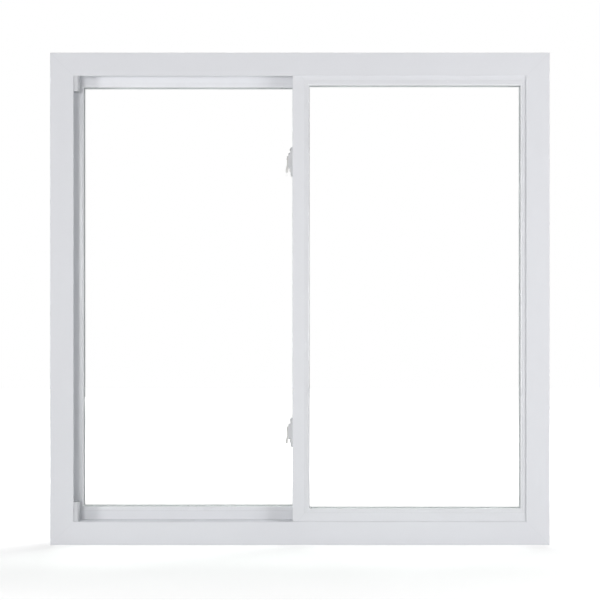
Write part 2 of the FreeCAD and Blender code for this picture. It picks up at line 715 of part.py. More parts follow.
def lock_case(level):
    """Base and housing are one casting, bored for the shaft and recessed behind for the cam."""
    middle = lock_middle(level)
    pivot_z = middle + LOCK_PIVOT_OFFSET
    bore = Part.makeCylinder(LEVER_SHAFT_RADIUS + SHAFT_CLEARANCE, LOCK_CASE_REACH,
                             point(MEETING_LEFT, LOCK_Y, pivot_z), point(-1, 0, 0))
    half_cam = CAM_WIDTH / 2 + CAM_SEAT_CLEARANCE
    cam_room = box(MEETING_LEFT - CAM_THICK - CAM_SEAT_CLEARANCE, MEETING_LEFT,
                   LOCK_Y - half_cam, LOCK_Y + CAM_REACH, pivot_z - half_cam, pivot_z + half_cam)
    return single(lock_base(middle).fuse(lock_housing(middle)).cut(bore).cut(cam_room))


def lever_blade(pivot_z):
    """The blade is thin at the shaft and thickens to a drop at its tip."""
    back = LOCK_CASE_REACH
    front = back + LEVER_THICK
    tip_back = back + LEVER_FLARE
    tip_front = tip_back + LEVER_TIP_THICK
    head = LEVER_HEAD_WIDTH / 2
    tip = head - LEVER_LENGTH
    side_view = edge_on([
        (back, head, LEVER_EDGE_RADIUS),
        (back, tip + LEVER_DROP_LENGTH, LEVER_BEND_RADIUS),
        (tip_back, tip, LEVER_TIP_RADIUS),
        (tip_front, tip, LEVER_TIP_RADIUS),
        (tip_front, tip + LEVER_TIP_LENGTH, LEVER_BEND_RADIUS),
        (front, tip + LEVER_DROP_LENGTH, LEVER_BEND_RADIUS),
        (front, head, LEVER_EDGE_RADIUS),
    ], LEVER_HEAD_WIDTH, pivot_z)
    half_tip = LEVER_TIP_WIDTH / 2
    front_view = face_on([
        (-head, head, LEVER_HEAD_CORNER),
        (-half_tip, tip, LEVER_TIP_CORNER),
        (half_tip, tip, LEVER_TIP_CORNER),
        (head, head, LEVER_HEAD_CORNER),
    ], tip_front, pivot_z)
    return side_view.common(front_view)


def lock_lever(level):
    """Lever blade, shaft and cam turn as one piece about a shaft across the stile's edge."""
    pivot_z = lock_middle(level) + LOCK_PIVOT_OFFSET
    shaft_end = LOCK_CASE_REACH + LEVER_THICK / 2
    start = point(MEETING_LEFT, LOCK_Y, pivot_z)
    shaft = Part.makeCylinder(LEVER_SHAFT_RADIUS, shaft_end, start, point(-1, 0, 0))
    half_cam = CAM_WIDTH / 2
    cam = face_on([
        (-half_cam, -half_cam, CAM_CORNER),
        (CAM_REACH, -half_cam, CAM_CORNER),
        (CAM_REACH, half_cam, CAM_CORNER),
        (-half_cam, half_cam, CAM_CORNER),
    ], CAM_THICK, pivot_z)
    return single(lever_blade(pivot_z).fuse(shaft).fuse(cam))


def keeper(level):
    """A plate on the fixed meeting stile, with an ear that the cam closes behind."""
    middle = lock_middle(level) + LOCK_PIVOT_OFFSET
    left = MEETING_LEFT - LOCK_BASE_THICK
    right = SLIDING_HOOK_ROOT - KEEPER_HOOK_GAP
    half_plate = KEEPER_LENGTH / 2
    half_ear = KEEPER_EAR_LENGTH / 2
    plate_y = FIXED_FACE - KEEPER_THICK
    plate = box(left, right, plate_y, FIXED_FACE, middle - half_plate, middle + half_plate)
    ear_y = SLIDING_BACK + KEEPER_EAR_GAP
    ear = box(left, left + KEEPER_THICK, ear_y, plate_y, middle - half_ear, middle + half_ear)
    return single(plate.fuse(ear))


# Weep covers: a small hood over each outside drain slot, with a plug that clips into it
def weep_cover(side):
    middle = weep_middle(side)
    half = WEEP_LENGTH / 2 + WEEP_COVER_MARGIN
    z_low = BACK_WALL - WEEP_COVER_MARGIN / 2
    z_high = BACK_WALL + WEEP_HEIGHT + WEEP_COVER_MARGIN / 2
    hood = box(middle - half, middle + half, OUTSIDE_FACE, OUTSIDE_FACE + WEEP_COVER_THICK, z_low, z_high)
    front_edges = [edge for edge in hood.Edges if edge.BoundBox.YMin > OUTSIDE_FACE + WEEP_COVER_THICK / 2]
    hood = hood.makeFillet(WEEP_COVER_RADIUS, front_edges)
    half_plug = WEEP_LENGTH / 2 - WEEP_PLUG_CLEARANCE
    plug = box(middle - half_plug, middle + half_plug, OUTSIDE_FACE - OUTER_LEG / 2, OUTSIDE_FACE,
               BACK_WALL + WEEP_PLUG_CLEARANCE, BACK_WALL + WEEP_HEIGHT - WEEP_PLUG_CLEARANCE)
    return single(hood.fuse(plug))


def all_pieces():
    pieces = {
        "frame_head": frame_head(),
        "frame_sill": frame_sill(),
        "frame_jamb_left": frame_jamb("left"),
        "frame_jamb_right": frame_jamb("right"),
        "roller_track": roller_track(),
        "bumper_upper": bumper(TRACK_TOP - UPPER_BUMPER_HEIGHT, TRACK_TOP),
        "bumper_lower": bumper(BACK_WALL, BACK_WALL + LOWER_BUMPER_HEIGHT),
        "setting_blocks": setting_blocks(),
        "sliding_meeting_stile": sliding_meeting_stile(),
        "fixed_meeting_stile": fixed_meeting_stile(),
        "pile_sliding_sash": sash_pile(),
        "pile_interlock": interlock_pile(),
        "weep_cover_left": weep_cover(-1),
        "weep_cover_right": weep_cover(1),
    }
    pieces.update(sash_pieces("sliding", SLIDING_BOX, SLIDING_FACE, "left"))
    pieces.update(sash_pieces("fixed", FIXED_BOX, FIXED_FACE, "right"))
    roller_places = (("left", SLIDING_BOX[0] + ROLLER_INSET), ("right", SLIDING_BOX[1] - ROLLER_INSET))
    for word, x in roller_places:
        pieces[f"roller_{word}_wheel"] = wheel(x)
        pieces[f"roller_{word}_case"] = roller_case(x)
    for word, level in (("upper", 1), ("lower", -1)):
        pieces[f"lock_{word}_case"] = lock_case(level)
        pieces[f"lock_{word}_lever"] = lock_lever(level)
        pieces[f"keeper_{word}"] = keeper(level)
    return pieces


os.makedirs("parts", exist_ok=True)
for node, shape in all_pieces().items():
    shape.exportStep(f"parts/{node}.step")
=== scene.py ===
import math

import bmesh
import bpy
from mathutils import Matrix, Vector


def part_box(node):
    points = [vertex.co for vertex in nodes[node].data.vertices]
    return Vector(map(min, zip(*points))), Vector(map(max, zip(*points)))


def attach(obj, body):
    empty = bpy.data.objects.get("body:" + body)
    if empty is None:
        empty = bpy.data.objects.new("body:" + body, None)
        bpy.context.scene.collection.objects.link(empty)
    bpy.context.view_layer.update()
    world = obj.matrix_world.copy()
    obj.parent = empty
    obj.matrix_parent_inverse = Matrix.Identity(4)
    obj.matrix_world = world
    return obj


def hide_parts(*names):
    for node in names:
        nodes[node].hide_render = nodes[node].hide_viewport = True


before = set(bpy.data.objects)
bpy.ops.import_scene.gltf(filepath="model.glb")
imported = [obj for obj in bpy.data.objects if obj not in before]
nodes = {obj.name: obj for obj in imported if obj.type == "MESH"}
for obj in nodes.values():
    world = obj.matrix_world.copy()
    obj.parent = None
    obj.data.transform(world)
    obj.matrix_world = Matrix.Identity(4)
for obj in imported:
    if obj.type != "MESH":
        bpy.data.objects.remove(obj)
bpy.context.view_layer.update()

# Main frame
# Head, sill and jambs are lengths of one white vinyl extrusion, welded at mitred corners.
# The die leaves faint lines along each length, and the weld a hair-thin trimmed seam.
FRAME_COLOUR = (0.770, 0.778, 0.812)
FRAME_ROUGHNESS = 0.55
FRAME_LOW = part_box("frame_sill")[0]
FRAME_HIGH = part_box("frame_head")[1]
FACE_LEFT = FRAME_LOW.x
FACE_RIGHT = FRAME_HIGH.x
FACE_BOTTOM = FRAME_LOW.z
FACE_TOP = FRAME_HIGH.z
ALONG_X = (0.03, 1.0, 1.0)    # stretches the die's lines along a level member
ALONG_Z = (1.0, 1.0, 0.03)    # and along an upright one
DIE_LINE_SCALE = 900.0
DIE_LINE_DETAIL = 3.0
DIE_LINE_STRENGTH = 0.35
DIE_LINE_DEPTH = 0.00006
MOTTLE_SCALE = 14.0
MOTTLE_DETAIL = 4.0
MOTTLE_DARKER = 0.985
MOTTLE_LIGHTER = 1.015
ROUGHNESS_SPREAD = 0.05
WORN_EDGE = 0.0006            # width of the band that handling polishes
WORN_EDGE_SAMPLES = 4
WORN_EDGE_GAIN = 4.0
WORN_EDGE_POLISH = 0.12
WELD_LINE = 0.0005
WELD_SHADE = 0.86
WELD_SHARE = 0.7


def add_socket(group, name, kind, default=None, out=False):
    made = group.interface.new_socket(name, in_out="OUTPUT" if out else "INPUT", socket_type=kind)
    if default is not None:
        made.default_value = default


def math_node(tree, operation, first, second=None):
    """One step of arithmetic on two numbers or sockets, and the socket that gives its result."""
    node = tree.nodes.new("ShaderNodeMath")
    node.operation = operation
    for index, value in enumerate((first, second)):
        if value is None:
            continue
        if isinstance(value, (int, float)):
            node.inputs[index].default_value = value
        else:
            tree.links.new(value, node.inputs[index])
    return node.outputs[0]


def extrusion_grain_group():
    """Fine surface of a moulded or extruded plastic: a soft mottle and lines along one direction."""
    group = bpy.data.node_groups.new("extrusion_grain", "ShaderNodeTree")
    add_socket(group, "Stretch", "NodeSocketVector", (1.0, 1.0, 1.0))
    add_socket(group, "Line Scale", "NodeSocketFloat", DIE_LINE_SCALE)
    add_socket(group, "Mottle Scale", "NodeSocketFloat", MOTTLE_SCALE)
    add_socket(group, "Height", "NodeSocketFloat", out=True)
    add_socket(group, "Mottle", "NodeSocketFloat", out=True)
    start = group.nodes.new("NodeGroupInput")
    end = group.nodes.new("NodeGroupOutput")
    place = group.nodes.new("ShaderNodeTexCoord")
    stretched = group.nodes.new("ShaderNodeVectorMath")
    stretched.operation = "MULTIPLY"
    group.links.new(place.outputs["Object"], stretched.inputs[0])
    group.links.new(start.outputs["Stretch"], stretched.inputs[1])
    lines = group.nodes.new("ShaderNodeTexNoise")
    lines.inputs["Detail"].default_value = DIE_LINE_DETAIL
    group.links.new(stretched.outputs[0], lines.inputs["Vector"])
    group.links.new(start.outputs["Line Scale"], lines.inputs["Scale"])
    mottle = group.nodes.new("ShaderNodeTexNoise")
    mottle.inputs["Detail"].default_value = MOTTLE_DETAIL
    group.links.new(place.outputs["Object"], mottle.inputs["Vector"])
    group.links.new(start.outputs["Mottle Scale"], mottle.inputs["Scale"])
    group.links.new(lines.outputs["Fac"], end.inputs["Height"])
    group.links.new(mottle.outputs["Fac"], end.inputs["Mottle"])
    return group


def edge_wear_group():
    """Mask of outside edges, where handling polishes the surface and rounds it a little."""
    group = bpy.data.node_groups.new("edge_wear", "ShaderNodeTree")
    add_socket(group, "Width", "NodeSocketFloat", WORN_EDGE)
    add_socket(group, "Mask", "NodeSocketFloat", out=True)
    start = group.nodes.new("NodeGroupInput")
    end = group.nodes.new("NodeGroupOutput")
    rounded = group.nodes.new("ShaderNodeBevel")
    rounded.samples = WORN_EDGE_SAMPLES
    group.links.new(start.outputs["Width"], rounded.inputs["Radius"])
    flat = group.nodes.new("ShaderNodeNewGeometry")
    turn = group.nodes.new("ShaderNodeVectorMath")
    turn.operation = "DOT_PRODUCT"
    group.links.new(rounded.outputs[0], turn.inputs[0])
    group.links.new(flat.outputs["Normal"], turn.inputs[1])
    worn = math_node(group, "SUBTRACT", 1.0, turn.outputs["Value"])
    strong = math_node(group, "MULTIPLY", worn, WORN_EDGE_GAIN)
    group.links.new(math_node(group, "MINIMUM", strong, 1.0), end.inputs["Mask"])
    return group


def mitre_seam_group():
    """Mask of the weld lines that run from a rectangle's corners inward, at the given slopes."""
    group = bpy.data.node_groups.new("mitre_seam", "ShaderNodeTree")
    for name in ("Left", "Right", "Bottom", "Top"):
        add_socket(group, name, "NodeSocketFloat", 0.0)
    add_socket(group, "Left Slope", "NodeSocketFloat", 1.0)
    add_socket(group, "Right Slope", "NodeSocketFloat", 1.0)
    add_socket(group, "Width", "NodeSocketFloat", WELD_LINE)
    add_socket(group, "Mask", "NodeSocketFloat", out=True)
    start = group.nodes.new("NodeGroupInput")
    end = group.nodes.new("NodeGroupOutput")
    place = group.nodes.new("ShaderNodeTexCoord")
    split = group.nodes.new("ShaderNodeSeparateXYZ")
    group.links.new(place.outputs["Object"], split.inputs[0])
    x = split.outputs["X"]
    z = split.outputs["Z"]
    from_left = math_node(group, "SUBTRACT", x, start.outputs["Left"])
    from_right = math_node(group, "SUBTRACT", start.outputs["Right"], x)
    from_bottom = math_node(group, "SUBTRACT", z, start.outputs["Bottom"])
    from_top = math_node(group, "SUBTRACT", start.outputs["Top"], z)
    level = math_node(group, "MINIMUM", from_bottom, from_top)
    left_line = math_node(group, "MULTIPLY", from_left, start.outputs["Left Slope"])
    right_line = math_node(group, "MULTIPLY", from_right, start.outputs["Right Slope"])
    upright = math_node(group, "MINIMUM", left_line, right_line)
    apart = math_node(group, "ABSOLUTE", math_node(group, "SUBTRACT", upright, level))
    share = math_node(group, "DIVIDE", apart, start.outputs["Width"])
    line = math_node(group, "MAXIMUM", math_node(group, "SUBTRACT", 1.0, share), 0.0)
    group.links.new(line, end.inputs["Mask"])
    return group


grain = extrusion_grain_group()
edge_wear = edge_wear_group()
mitre_seam = mitre_seam_group()


def blank_finish(name):
    """A new material, its node tree and the shader in it."""
    material = bpy.data.materials.new(name)
    material.use_nodes = True
    tree = material.node_tree
    return material, tree, tree.nodes["Principled BSDF"]


def placed(tree, group, **values):
    """A shared effect placed in a material; an underscore in a value's name stands for a space."""
    node = tree.nodes.new("ShaderNodeGroup")
    node.node_tree = group
    for name, value in values.items():
        node.inputs[name.replace("_", " ")].default_value = value
    return node


def shade_by(tree, colour, mask, darker, lighter):
    """A colour that a mask moves between a darker and a lighter shade of itself."""
    mix = tree.nodes.new("ShaderNodeMix")
    mix.data_type = "RGBA"
    mix.inputs["A"].default_value = tuple(c * darker for c in colour) + (1.0,)
    mix.inputs["B"].default_value = tuple(min(c * lighter, 1.0) for c in colour) + (1.0,)
    tree.links.new(mask, mix.inputs["Factor"])
    return mix.outputs["Result"]


def covered_by(tree, base, colour, mask):
    """A base colour that gives way to another colour where a mask is 1."""
    mix = tree.nodes.new("ShaderNodeMix")
    mix.data_type = "RGBA"
    mix.inputs["B"].default_value = colour + (1.0,)
    tree.links.new(base, mix.inputs["A"])
    tree.links.new(mask, mix.inputs["Factor"])
    return mix.outputs["Result"]


def level_by(tree, mask, low, high):
    """A value that a mask from 0 to 1 moves between low and high."""
    scaled = math_node(tree, "MULTIPLY", mask, high - low)
    return math_node(tree, "ADD", scaled, low)


def relief(tree, shader, height, strength, depth):
    """Fine relief of the surface, too shallow for the mesh."""
    bump = tree.nodes.new("ShaderNodeBump")
    bump.inputs["Strength"].default_value = strength
    bump.inputs["Distance"].default_value = depth
    tree.links.new(height, bump.inputs["Height"])
    tree.links.new(bump.outputs[0], shader.inputs["Normal"])


def vinyl(name, colour, stretch, seam, roughness):
    """White vinyl: grain and mottle, polished edges, and the weld seams of its own rectangle."""
    material, tree, shader = blank_finish(name)
    surface = placed(tree, grain, Stretch=stretch)
    worn = placed(tree, edge_wear)
    weld = placed(tree, mitre_seam, **seam)
    base = shade_by(tree, colour, surface.outputs["Mottle"], MOTTLE_DARKER, MOTTLE_LIGHTER)
    faint = math_node(tree, "MULTIPLY", weld.outputs["Mask"], WELD_SHARE)
    seamed = covered_by(tree, base, tuple(c * WELD_SHADE for c in colour), faint)
    tree.links.new(seamed, shader.inputs["Base Color"])
    smoothest = roughness - ROUGHNESS_SPREAD
    roughest = roughness + ROUGHNESS_SPREAD
    rough = level_by(tree, surface.outputs["Mottle"], smoothest, roughest)
    polished = math_node(tree, "MULTIPLY", worn.outputs["Mask"], WORN_EDGE_POLISH)
    tree.links.new(math_node(tree, "SUBTRACT", rough, polished), shader.inputs["Roughness"])
    lowered = math_node(tree, "SUBTRACT", surface.outputs["Height"], weld.outputs["Mask"])
    relief(tree, shader, lowered, DIE_LINE_STRENGTH, DIE_LINE_DEPTH)
    return material


def dress(material, *names):
    """A CAD node takes a better material in all of its slots."""
    for name in names:
        slots = nodes[name].data.materials
        if len(slots) == 0:
            slots.append(material)
        for index in range(len(slots)):
            slots[index] = material


FRAME_SEAM = {"Left": FACE_LEFT, "Right": FACE_RIGHT, "Bottom": FACE_BOTTOM, "Top": FACE_TOP}
dress(vinyl("frame_vinyl_level", FRAME_COLOUR, ALONG_X, FRAME_SEAM, FRAME_ROUGHNESS),
      "frame_head", "frame_sill")
dress(vinyl("frame_vinyl_upright", FRAME_COLOUR, ALONG_Z, FRAME_SEAM, FRAME_ROUGHNESS),
      "frame_jamb_left", "frame_jamb_right")

# Sashes
# Each sash is a welded ring of a slimmer vinyl section round its glass.
# Its rails and jamb stile share one section, and the meeting stile is narrower.
SASH_COLOUR = (0.775, 0.783, 0.815)
SASH_ROUGHNESS = 0.32
SASHES = {"sliding": "left", "fixed": "right"}    # each sash, and the side of its meeting stile


def sash_seam(sash):
    """The weld lines start at the sash's outer corners and meet the glazing beads' corners."""
    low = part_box(f"{sash}_bottom_rail")[0]
    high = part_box(f"{sash}_top_rail")[1]
    bead_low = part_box(f"{sash}_bead_bottom")[0]
    bead_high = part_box(f"{sash}_bead_top")[1]
    rail_flat = bead_low.z - low.z
    return {
        "Left": low.x, "Right": high.x, "Bottom": low.z, "Top": high.z,
        "Left Slope": rail_flat / (bead_low.x - low.x),
        "Right Slope": rail_flat / (high.x - bead_high.x),
    }


for sash in SASHES:
    seam = sash_seam(sash)
    dress(vinyl(f"{sash}_vinyl_level", SASH_COLOUR, ALONG_X, seam, SASH_ROUGHNESS),
          f"{sash}_top_rail", f"{sash}_bottom_rail")
    dress(vinyl(f"{sash}_vinyl_upright", SASH_COLOUR, ALONG_Z, seam, SASH_ROUGHNESS),
          f"{sash}_jamb_stile", f"{sash}_meeting_stile")

# Glazing beads
# Snap-in strips of the same vinyl hold the glass from the room side.
# They are cut on the mitre, so a fine dark line shows at each of their corners.
BEAD_COLOUR = (0.785, 0.793, 0.822)
BEAD_ROUGHNESS = 0.26
BEAD_LINE = 0.00035


def bead_seam(sash):
    """The mitres run from the corners of the ring of beads."""
    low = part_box(f"{sash}_bead_bottom")[0]
    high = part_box(f"{sash}_bead_top")[1]
    return {"Left": low.x, "Right": high.x, "Bottom": low.z, "Top": high.z, "Width": BEAD_LINE}


for sash in SASHES:
    seam = bead_seam(sash)
    dress(vinyl(f"{sash}_bead_level", BEAD_COLOUR, ALONG_X, seam, BEAD_ROUGHNESS),
          f"{sash}_bead_top", f"{sash}_bead_bottom")
    dress(vinyl(f"{sash}_bead_upright", BEAD_COLOUR, ALONG_Z, seam, BEAD_ROUGHNESS),
          f"{sash}_bead_jamb", f"{sash}_bead_meeting")

# Sealed glass units
# Two panes of clear float glass, with a grey metal spacer between them, are sealed at their edges.
# Lamp rays pass straight through, as they do through real clear glass.
GLASS_TINT = (1.0, 1.0, 1.0)
GLASS_IOR = 1.5
LIGHT_THROUGH_GLASS = (0.955, 0.975, 0.965)
SPACER_COLOUR = (0.41, 0.42, 0.425)
SPACER_MOTTLE_SCALE = 60.0
SPACER_DARKER = 0.92
SPACER_LIGHTER = 1.08
SPACER_METALLIC = 0.6
SPACER_SMOOTHEST = 0.38
SPACER_ROUGHEST = 0.52
# near-black painted shade that stands for the inside of each fine hole
SPACER_HOLE_PAINTED_SHADE = (0.12, 0.12, 0.12)
SPACER_HOLE_PITCH = 0.0032
SPACER_HOLE_RADIUS = 0.00035
SPACER_ROW_OFFSET = 0.0018    # each of the two rows of holes, from the middle of the spacer


def clear_glass():
    """Clear glass to the eye, and a faint filter to lamp rays and light from other surfaces."""
    material, tree, shader = blank_finish("clear_glass")
    shader.inputs["Base Color"].default_value = GLASS_TINT + (1.0,)
    shader.inputs["Metallic"].default_value = 0.0
    shader.inputs["Transmission Weight"].default_value = 1.0
    shader.inputs["IOR"].default_value = GLASS_IOR
    shader.inputs["Roughness"].default_value = 0.0
    through = tree.nodes.new("ShaderNodeBsdfTransparent")
    through.inputs["Color"].default_value = LIGHT_THROUGH_GLASS + (1.0,)
    rays = tree.nodes.new("ShaderNodeLightPath")
    lets_light = math_node(tree, "MAXIMUM", rays.outputs["Is Shadow Ray"], rays.outputs["Is Diffuse Ray"])
    mix = tree.nodes.new("ShaderNodeMixShader")
    tree.links.new(lets_light, mix.inputs[0])
    tree.links.new(shader.outputs[0], mix.inputs[1])
    tree.links.new(through.outputs[0], mix.inputs[2])
    tree.links.new(mix.outputs[0], tree.nodes["Material Output"].inputs["Surface"])
    return material


def spacer_metal(name, middle_y):
    """Dull rolled metal with two rows of fine holes over its desiccant; the holes are painted near-black,
    as painted shade inside them.
    """
    material, tree, shader = blank_finish(name)
    surface = placed(tree, grain, Mottle_Scale=SPACER_MOTTLE_SCALE)
    place = tree.nodes.new("ShaderNodeTexCoord")
    split = tree.nodes.new("ShaderNodeSeparateXYZ")
    tree.links.new(place.outputs["Object"], split.inputs[0])
    facing = tree.nodes.new("ShaderNodeNewGeometry")
    facing_split = tree.nodes.new("ShaderNodeSeparateXYZ")
    tree.links.new(facing.outputs["True Normal"], facing_split.inputs[0])
    sideways = math_node(tree, "ABSOLUTE", facing_split.outputs["X"])
    upright = math_node(tree, "GREATER_THAN", sideways, 0.5)
    level = math_node(tree, "SUBTRACT", 1.0, upright)
    along_z = math_node(tree, "MULTIPLY", split.outputs["Z"], upright)
    along_x = math_node(tree, "MULTIPLY", split.outputs["X"], level)
    along = math_node(tree, "DIVIDE", math_node(tree, "ADD", along_x, along_z), SPACER_HOLE_PITCH)
    from_hole = math_node(tree, "SUBTRACT", math_node(tree, "FRACT", along), 0.5)
    from_hole = math_node(tree, "MULTIPLY", from_hole, SPACER_HOLE_PITCH)
    from_middle = math_node(tree, "ABSOLUTE", math_node(tree, "SUBTRACT", split.outputs["Y"], middle_y))
    from_row = math_node(tree, "SUBTRACT", from_middle, SPACER_ROW_OFFSET)
    along_square = math_node(tree, "MULTIPLY", from_hole, from_hole)
    across_square = math_node(tree, "MULTIPLY", from_row, from_row)
    apart = math_node(tree, "ADD", along_square, across_square)
    hole = math_node(tree, "LESS_THAN", apart, SPACER_HOLE_RADIUS ** 2)
    base = shade_by(tree, SPACER_COLOUR, surface.outputs["Mottle"], SPACER_DARKER, SPACER_LIGHTER)
    # The holes are drawn in the colour only, near-black as painted shade in their depth.
    tree.links.new(covered_by(tree, base, SPACER_HOLE_PAINTED_SHADE, hole), shader.inputs["Base Color"])
    shader.inputs["Metallic"].default_value = SPACER_METALLIC
    rough = level_by(tree, surface.outputs["Mottle"], SPACER_SMOOTHEST, SPACER_ROUGHEST)
    tree.links.new(rough, shader.inputs["Roughness"])
    return material


glass = clear_glass()
for sash in SASHES:
    dress(glass, f"{sash}_pane_room", f"{sash}_pane_outside")
    spacer_low, spacer_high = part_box(f"{sash}_spacer")
    dress(spacer_metal(f"{sash}_spacer_metal", (spacer_low.y + spacer_high.y) / 2), f"{sash}_spacer")

# Roller track and rollers
# A mill-finish aluminium rail is snapped to the sill, and the sash rolls on it.
# The wheels are turned brass in black nylon cases.
TRACK_COLOUR = (0.70, 0.71, 0.72)
TRACK_LINE_SCALE = 1400.0
ROLLER_CASE_COLOUR = (0.035, 0.035, 0.038)
ROLLER_WHEEL_COLOUR = (0.72, 0.55, 0.26)
SMALL_MOTTLE_SCALE = 45.0     # this and the next three are for small pieces of any finish
SMALL_WORN_EDGE = 0.0004
SMALL_EDGE_POLISH = 0.1
SMALL_RELIEF_STRENGTH = 0.5


def plain_finish(name, colour, roughness, metallic=0.0, stretch=(1.0, 1.0, 1.0),
                 line_scale=DIE_LINE_SCALE, depth=0.00005, spread=0.06, shade=0.05):
    """A finish with its own grain, mottle and polished edges."""
    material, tree, shader = blank_finish(name)
    surface = placed(tree, grain, Stretch=stretch, Line_Scale=line_scale, Mottle_Scale=SMALL_MOTTLE_SCALE)
    worn = placed(tree, edge_wear, Width=SMALL_WORN_EDGE)
    blend = math_node(tree, "MAXIMUM", surface.outputs["Mottle"], worn.outputs["Mask"])
    tree.links.new(shade_by(tree, colour, blend, 1.0 - shade, 1.0 + shade), shader.inputs["Base Color"])
    rough = level_by(tree, surface.outputs["Mottle"], roughness - spread, roughness + spread)
    polished = math_node(tree, "MULTIPLY", worn.outputs["Mask"], SMALL_EDGE_POLISH)
    tree.links.new(math_node(tree, "SUBTRACT", rough, polished), shader.inputs["Roughness"])
    shader.inputs["Metallic"].default_value = metallic
    relief(tree, shader, surface.outputs["Height"], SMALL_RELIEF_STRENGTH, depth)
    return material


dress(plain_finish("mill_aluminium", TRACK_COLOUR, roughness=0.36, metallic=1.0, stretch=ALONG_X,
                   line_scale=TRACK_LINE_SCALE), "roller_track")
dress(plain_finish("black_nylon", ROLLER_CASE_COLOUR, roughness=0.5),
      "roller_left_case", "roller_right_case")
dress(plain_finish("turned_brass", ROLLER_WHEEL_COLOUR, roughness=0.3, metallic=1.0),
      "roller_left_wheel", "roller_right_wheel")

# Glazing seals
# A soft grey lip on each bead presses on the glass from the room side.
# Outside, a fine line of sealant closes the joint between the glass and the sash.
# Between the panes, dark grey butyl shows along both edges of the spacer.
SEAL_COLOUR = (0.50, 0.51, 0.52)
SEALANT_COLOUR = (0.60, 0.61, 0.62)
BUTYL_COLOUR = (0.10, 0.10, 0.105)
SEAL_OFF_GLASS = 0.00002      # keeps a seal's face from lying in the glass's own
SEAL_STEPS = 5
LIP_REACH = 0.0003
LIP_HEIGHT = 0.0010
SEALANT_REACH = 0.0004
SEALANT_HEIGHT = 0.0010
SPACER_WIDTH = 0.008
BUTYL_REACH = 0.0004
BUTYL_HEIGHT = 0.0006


def add_piece(name, points, faces, material, slot_name):
    """A closed mesh in metres, with its faces turned outward, on the window's one body."""
    work = bmesh.new()
    made = [work.verts.new(place) for place in points]
    for face in faces:
        work.faces.new([made[index] for index in face])
    bmesh.ops.recalc_face_normals(work, faces=work.faces)
    mesh = bpy.data.meshes.new(name)
    work.to_mesh(mesh)
    work.free()
    mesh.materials.append(material)
    piece = bpy.data.objects.new(name, mesh)
    bpy.context.scene.collection.objects.link(piece)
    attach(piece, "root")
    return piece


def ring_round(rectangle, section):
    """A section carried round a rectangle with mitred corners; its points are (inward, y)."""
    left, right, bottom, top = rectangle
    points = []
    for inward, y in section:
        points.append((left + inward, y, bottom + inward))
        points.append((right - inward, y, bottom + inward))
        points.append((right - inward, y, top - inward))
        points.append((left + inward, y, top - inward))
    faces = []
    for index in range(len(section)):
        following = (index + 1) % len(section)
        for corner in range(4):
            turn = (corner + 1) % 4
            near = 4 * index
            far = 4 * following
            faces.append((near + corner, near + turn, far + turn, far + corner))
    return points, faces


def daylight(sash, meeting_side):
    """The rectangle between a sash's beads, where the glass is seen."""
    left_bead, right_bead = ("meeting", "jamb") if meeting_side == "left" else ("jamb", "meeting")
    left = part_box(f"{sash}_bead_{left_bead}")[1].x
    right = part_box(f"{sash}_bead_{right_bead}")[0].x
    return left, right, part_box(f"{sash}_bead_bottom")[1].z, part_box(f"{sash}_bead_top")[0].z


def quarter_round(glass_y, outward, reach, height):
    """A rounded lip on the glass; outward is -1 towards the room and 1 towards the outside."""
    start = glass_y + outward * SEAL_OFF_GLASS
    section = [(0.0, start)]
    for step in range(SEAL_STEPS + 1):
        turn = math.pi / 2 * step / SEAL_STEPS
        section.append((reach * math.cos(turn), start + outward * height * math.sin(turn)))
    return section


lip_rubber = plain_finish("seal_rubber", SEAL_COLOUR, roughness=0.6, shade=0.08)
sealant = plain_finish("glazing_sealant", SEALANT_COLOUR, roughness=0.42, shade=0.05)
butyl = plain_finish("butyl", BUTYL_COLOUR, roughness=0.7, shade=0.15)
for sash, meeting_side in SASHES.items():
    opening = daylight(sash, meeting_side)
    room_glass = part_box(f"{sash}_pane_room")
    outside_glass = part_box(f"{sash}_pane_outside")
    lip = quarter_round(room_glass[0].y, -1, LIP_REACH, LIP_HEIGHT)
    add_piece(f"{sash}_bead_seal", *ring_round(opening, lip), lip_rubber, "bead_vinyl")
    line = quarter_round(outside_glass[1].y, 1, SEALANT_REACH, SEALANT_HEIGHT)
    add_piece(f"{sash}_sealant", *ring_round(opening, line), sealant, "sash_vinyl")
    spacer_low, spacer_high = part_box(f"{sash}_spacer")
    inside = (spacer_low.x + SPACER_WIDTH, spacer_high.x - SPACER_WIDTH,
              spacer_low.z + SPACER_WIDTH, spacer_high.z - SPACER_WIDTH)
    for word, glass_y, outward in (("room", room_glass[1].y, 1), ("outside", outside_glass[0].y, -1)):
        edge = quarter_round(glass_y, outward, BUTYL_REACH, BUTYL_HEIGHT)
        add_piece(f"{sash}_butyl_{word}", *ring_round(inside, edge), butyl, "spacer")

# Blocks
# White moulded bumpers sit in the inner track at the left jamb and stop the opened sash. Their colour is
# a grey darker than the white plastic, which is painted shade for the shadow that the jamb's leg casts
# over the corner.
# Hard black rubber blocks lie under the fixed sash and carry it.
# painted shade: the white bumper plastic darkened to grey to stand for the jamb leg's shadow over the
# corner
BUMPER_SHADED_COLOUR = (0.62, 0.627, 0.652)
BLOCK_COLOUR = (0.03, 0.03, 0.032)
dress(plain_finish("bumper_plastic_painted_shade", BUMPER_SHADED_COLOUR, roughness=0.5), "bumper_upper", "bumper_lower")
dress(plain_finish("block_rubber", BLOCK_COLOUR, roughness=0.65), "setting_blocks")

# Pile strips
# Grey pile on a woven back is pushed into slots in the vinyl.
# It closes the gaps round the sliding sash and between the two meeting stiles.
PILE_COLOUR = (0.30, 0.31, 0.32)
PILE_LINE_SCALE = 2600.0
PILE_DEPTH = 0.0004
dress(plain_finish("pile_brush", PILE_COLOUR, roughness=0.9, line_scale=PILE_LINE_SCALE,
                   depth=PILE_DEPTH, shade=0.25), "pile_sliding_sash", "pile_interlock")

